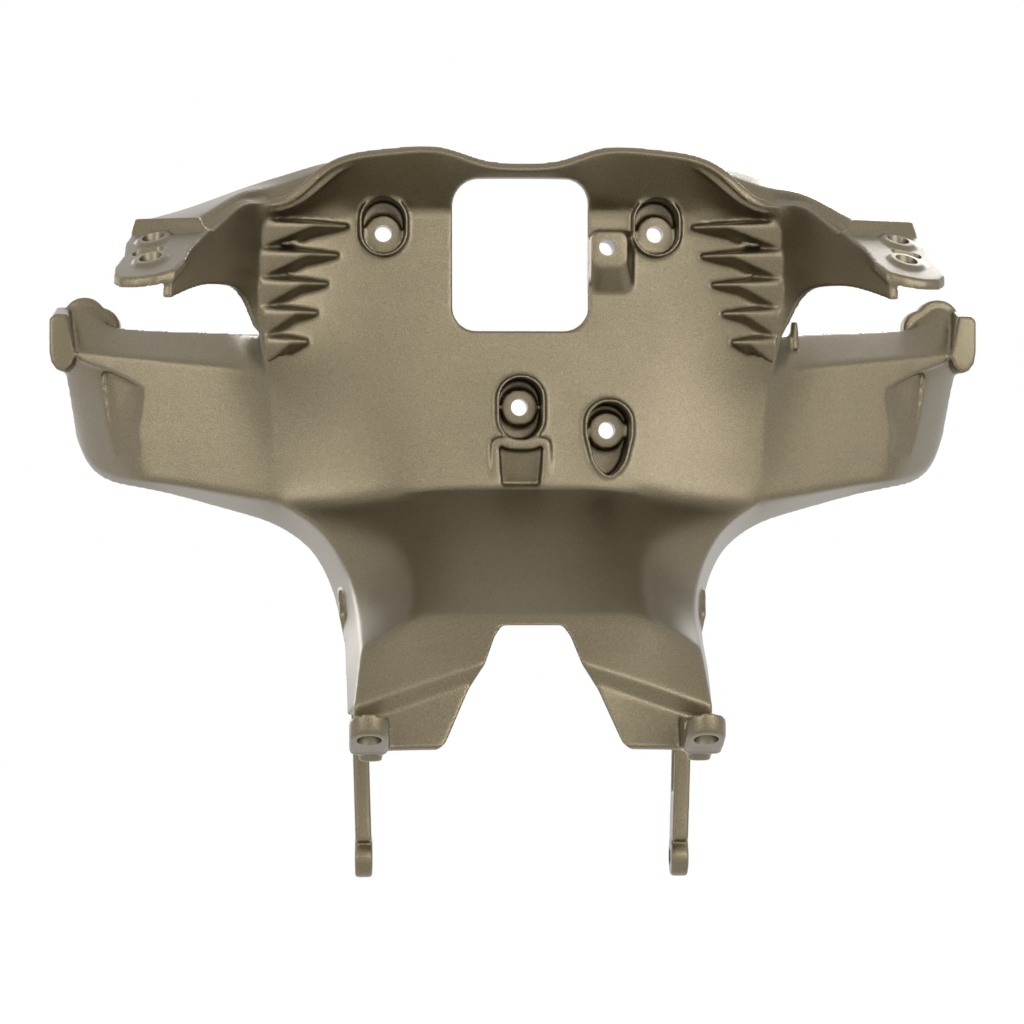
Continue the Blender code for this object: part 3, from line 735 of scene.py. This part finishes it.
def addLegs(adds, drills):
    x, forward, height = leg["eye"]
    half, flange, clear = leg["eyeThick"] / 2, leg["flange"], leg["clear"]
    for side in (1, -1):
        sections, hollow = [], []
        for level, middle, rear, front, thick in leg["sections"]:
            face = middle - thick / 2
            inner, outer = side * face, side * (middle + thick / 2)
            deep, away = side * (face + leg["recess"]), side * (face - clear)
            sections.append([(inner, rear, level), (inner, front, level),
                             (outer, front, level), (outer, rear, level)])
            hollow.append([(away, rear + flange, level), (away, front - flange, level),
                           (deep, front - flange, level), (deep, rear + flange, level)])
        adds.append(lofted("leg", sections))
        recess = lofted("legRecess", hollow[2:-1])  # both ends stay whole
        carve(adds[-1], [recess])
        discard([recess])
        place = sideways(x, side)
        adds.append(run("legEye", circle(forward, height, leg["eyeRadius"]), -half, half, place))
        bore = circle(forward, height, pocket["hole"] / 2)
        drills.append(run("legBore", bore, -half - clear, half + clear, place))


opening = {
    "windowHalf": 27.1,
    "windowSill": 72.4,
    "windowLintel": 2.9,  # what is left of the hood's rim above the window
    "windowCorner": 9.5,
    "windowDepth": (-60.0, 60.0),
    "gap": [  # side and height of the apron's inner edge
        (11.3, -42.6), (14.2, -46.6), (18.2, -57.0), (24.3, -66.5), (31.6, -83.0), (33.0, -86.0),
        (36.0, -88.6), (37.0, -100.0),
    ],
    "gapDepth": (60.0, 150.0),
}


def addOpenings(cuts):
    half, lintel = opening["windowHalf"], hood["notchHeight"] - opening["windowLintel"]
    outline = rounded(-half, half, opening["windowSill"], lintel, opening["windowCorner"])
    cuts.append(run("window", outline, *opening["windowDepth"]))
    gap = opening["gap"]
    cuts.append(run("gap", gap + [(-x, z) for x, z in reversed(gap)], *opening["gapDepth"]))


# The casting: its cast forms are run together and softened, then the holes are drilled

finishing = {
    "voxel": 0.72,
    "softening": 7,
    "softFactor": 0.5,
    "sharp": 52,  # degrees between two faces from where their edge stays sharp
    "triangles": 185000,
}


def fuse(name, pieces):
    # One closed skin round all the pieces, its edges and corners softened
    bm = bmesh.new()
    for piece in pieces:
        bake(piece)
        bm.from_mesh(piece.data)
    mesh = bpy.data.meshes.new(name)
    bm.to_mesh(mesh)
    bm.free()
    discard(pieces)
    casting = bpy.data.objects.new(name, mesh)
    bpy.context.collection.objects.link(casting)
    remesh = casting.modifiers.new("remesh", "REMESH")
    remesh.mode = "VOXEL"
    remesh.voxel_size = finishing["voxel"] * mm
    soften = casting.modifiers.new("soften", "SMOOTH")
    soften.factor = finishing["softFactor"]
    soften.iterations = finishing["softening"]
    bake(casting)
    return casting


def makeCasting():
    body = makeSkin()
    adds, bosses, cuts, drills = [makeCrowns()], [], [], []
    addPockets(adds, bosses, cuts, drills)
    addStepBoss(adds, drills)
    addRibs(adds)
    addEars(adds, drills)
    addArmEnds(adds, cuts)
    addFeet(adds, drills)
    addLegs(adds, drills)
    addOpenings(cuts)
    for piece in [body] + bosses:
        carve(piece, cuts)
    discard(cuts)
    print("cast forms:", len(adds) + len(bosses) + 1)

    casting = fuse("casting", [body] + bosses + adds)
    triangles = sum(len(face.vertices) - 2 for face in casting.data.polygons)
    thin = casting.modifiers.new("thin", "DECIMATE")
    thin.ratio = min(1.0, finishing["triangles"] / triangles)
    bake(casting)
    print("softened:", triangles, "triangles, thinned to", len(casting.data.polygons))
    carve(casting, drills)
    discard(drills)
    casting.data.shade_smooth()
    casting.data.set_sharp_from_angle(angle=math.radians(finishing["sharp"]))
    return casting


casting = makeCasting()
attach(casting, "root")
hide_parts("stay_casting")
print("casting:", len(casting.data.polygons), "faces")


# Shader maths as expressions


class Socket:
    # One output of a node in the material or world that is being made

    def __init__(self, maker, link):
        self.maker = maker
        self.link = link

    def math(self, operation, *values):
        return self.maker.node("ShaderNodeMath", {"operation": operation}, values)

    def __add__(self, other):
        return self.math("ADD", self, other)

    def __radd__(self, other):
        return self.math("ADD", other, self)

    def __sub__(self, other):
        return self.math("SUBTRACT", self, other)

    def __rsub__(self, other):
        return self.math("SUBTRACT", other, self)

    def __mul__(self, other):
        return self.math("MULTIPLY", self, other)

    def __rmul__(self, other):
        return self.math("MULTIPLY", other, self)

    def highest(self, other):
        return self.math("MAXIMUM", self, other)

    def band(self, low, high):
        # 0 below low, 1 above high, soft between them
        return self.maker.node("ShaderNodeMapRange", {"interpolation_type": "SMOOTHSTEP"}, {
            "Value": self, "From Min": low, "From Max": high})


class Maker:
    # Makes the nodes of one material or world

    def __init__(self, owner):
        owner.use_nodes = True
        self.owner = owner
        self.tree = owner.node_tree

    def node(self, kind, settings, values, output=0):
        node = self.tree.nodes.new(kind)
        for name, value in settings.items():
            setattr(node, name, value)
        pairs = values.items() if isinstance(values, dict) else enumerate(values)
        for name, value in pairs:
            self.feed(node.inputs[name], value)
        return Socket(self, node.outputs[output])

    def feed(self, socket, value):
        if isinstance(value, Socket):
            self.tree.links.new(value.link, socket)
        else:
            socket.default_value = value

    def mix(self, share, first, second):
        # 6 and 7 are the node's colours, 2 is their mixture
        return self.node("ShaderNodeMix", {"data_type": "RGBA"}, {0: share, 6: first, 7: second}, 2)

    def noise(self, scale, detail, roughness):
        values = {"Scale": scale, "Detail": detail, "Roughness": roughness}
        values["Vector"] = self.node("ShaderNodeTexCoord", {}, {}, "Object")
        return self.node("ShaderNodeTexNoise", {}, values)

    def bump(self, height, distance, strength, normal=None):
        values = {"Strength": strength, "Distance": distance, "Height": height}
        if normal:
            values["Normal"] = normal
        return self.node("ShaderNodeBump", {}, values)

    def background(self):
        # 1 for a ray that shows the surroundings, straight or in a gloss
        path = self.tree.nodes.new("ShaderNodeLightPath")
        camera, glossy, through = (Socket(self, path.outputs[name]) for name in (
            "Is Camera Ray", "Is Glossy Ray", "Is Transmission Ray"))
        return camera.highest(glossy).highest(through)


paint = {
    "shade": (0.112, 0.089, 0.048, 1),
    "light": (0.212, 0.173, 0.102, 1),
    # lighter paint on sharp edges: partly worn paint, partly a painted highlight
    "edge": (0.36, 0.32, 0.25, 1),
    "grain": (2100.0, 3.0, 0.6),  # scale, detail and roughness of the noise, as the next three
    "flake": (3570.0, 1.0, 0.5),
    "cloud": (28.0, 3.0, 0.5),
    "wave": (60.0, 2.0, 0.5),
    "cloudShare": 0.15,  # of the tone, the rest is grain
    "toneBand": (0.25, 0.75),
    "edgeWearAndHighlightBand": (0.53, 0.62),  # pointiness at which the paint takes the edge's colour
    "edgeWearAndHighlightShare": 0.45,
    "metallic": 0.96,
    "roughness": 0.40,
    "roughSpread": (0.2, 0.06),  # by flake and by cloud
    "coat": 0.7,
    "coatRoughness": 0.36,
    "grainBump": (0.00009, 0.9),  # distance in metres and strength
    "waveBump": (0.0004, 0.5),
}


def bronzePaint():
    make = Maker(bpy.data.materials.new("bronze_paint_finish"))
    shader = make.tree.nodes["Principled BSDF"]
    grain, flake, cloud, wave = (
        make.noise(*paint[name]) for name in ("grain", "flake", "cloud", "wave"))
    cloudy = paint["cloudShare"]
    tone = (cloudy * cloud + (1 - cloudy) * grain).band(*paint["toneBand"])
    colour = make.mix(tone, paint["shade"], paint["light"])
    # sharp edges take the lighter edge colour: partly worn paint, partly a painted highlight
    bent = make.node("ShaderNodeNewGeometry", {}, {}, "Pointiness")
    rim = bent.band(*paint["edgeWearAndHighlightBand"])
    colour = make.mix(rim * paint["edgeWearAndHighlightShare"], colour, paint["edge"])
    byFlake, byCloud = paint["roughSpread"]
    rough = paint["roughness"] + byFlake * (flake - 0.5) + byCloud * (cloud - 0.5)
    make.feed(shader.inputs["Base Color"], colour)
    make.feed(shader.inputs["Roughness"], rough)
    shader.inputs["Metallic"].default_value = paint["metallic"]
    shader.inputs["Coat Weight"].default_value = paint["coat"]
    shader.inputs["Coat Roughness"].default_value = paint["coatRoughness"]
    soft = make.bump(wave, *paint["waveBump"])
    make.feed(shader.inputs["Normal"], make.bump(grain, *paint["grainBump"], soft))
    return make.owner


casting.data.materials.clear()
casting.data.materials.append(bronzePaint())
print("paint done")


# Camera, where the photograph was taken from

view = {
    "distance": 1500.0,
    "yaw": 2.8,
    "pixel": 0.4,  # millimetres to a pixel at the back plate
    "centre": (-3.2, 0.0, 0.0),
    "frame": 1024,
    "sensor": 36.0,
    "clipStart": 0.05,
}


def makeCamera():
    data = bpy.data.cameras.new("camera")
    data.sensor_width = view["sensor"]
    data.lens = view["sensor"] * view["distance"] / (view["pixel"] * view["frame"])
    data.clip_start = view["clipStart"]
    camera = bpy.data.objects.new("camera", data)
    bpy.context.collection.objects.link(camera)
    yaw = math.radians(view["yaw"])
    back = Vector((-math.sin(yaw), -math.cos(yaw), 0))
    camera.location = put(view["centre"]) + back * view["distance"] * mm
    camera.rotation_euler = (math.radians(90), 0, -yaw)
    bpy.context.scene.camera = camera


makeCamera()


# Studio: white surroundings, soft lamps beside and above the camera, two behind, a pale floor

studio = {
    "room": 0.25,  # light of the surroundings on what is matt
    "lamps": [  # place in metres from the stay, size, power
        ((-1.1, -1.2, 0.35), 0.8, 6.2),
        ((1.0, -1.25, 0.3), 0.8, 6.0),
        ((0.45, -1.6, 0.42), 0.6, 4.6),
        ((0.5, 1.4, 0.8), 0.8, 7.0),
        ((-0.9, 1.2, 0.4), 0.8, 5.0),
    ],
    "floor": 0.16,  # distance below the stay's lowest point
    "floorHalf": 3.0,
    "floorColour": (0.86, 0.86, 0.86, 1),
    "floorWhite": (0.8, 1.2),  # share and strength of its white in view
}


def makeWorld():
    make = Maker(bpy.data.worlds.new("studio"))
    bpy.context.scene.world = make.owner
    make.tree.nodes.clear()
    strength = make.background() * (1 - studio["room"]) + studio["room"]
    room = make.node("ShaderNodeBackground", {}, {"Color": (1, 1, 1, 1), "Strength": strength})
    make.feed(make.tree.nodes.new("ShaderNodeOutputWorld").inputs["Surface"], room)


def makeLamps():
    for number, (spot, size, power) in enumerate(studio["lamps"]):
        data = bpy.data.lights.new(f"lamp{number}", "AREA")
        data.shape = "DISK"
        data.size = size
        data.energy = power
        lamp = bpy.data.objects.new(f"lamp{number}", data)
        bpy.context.collection.objects.link(lamp)
        lamp.location = spot
        lamp.rotation_euler = (-Vector(spot)).to_track_quat("-Z", "Y").to_euler()


def makeFloor():
    half, level = studio["floorHalf"], cadBox[0][2] - studio["floor"]
    mesh = bpy.data.meshes.new("floor")
    corners = [(x * half, y * half, level) for x, y in ((-1, -1), (1, -1), (1, 1), (-1, 1))]
    mesh.from_pydata(corners, [], [(0, 1, 2, 3)])
    ground = bpy.data.objects.new("floor", mesh)
    bpy.context.collection.objects.link(ground)
    make = Maker(bpy.data.materials.new("floor_paper"))
    make.tree.nodes.clear()
    paper = make.node("ShaderNodeBsdfDiffuse", {}, {"Color": studio["floorColour"]})
    share, strength = studio["floorWhite"]
    glow = make.node("ShaderNodeEmission", {}, {"Strength": strength})
    white = make.background() * share
    sheet = make.node("ShaderNodeMixShader", {}, [white, paper, glow])
    make.feed(make.tree.nodes.new("ShaderNodeOutputMaterial").inputs["Surface"], sheet)
    mesh.materials.append(make.owner)


makeWorld()
makeLamps()
makeFloor()
bpy.context.scene.view_settings.view_transform = "Standard"

print("studio done")
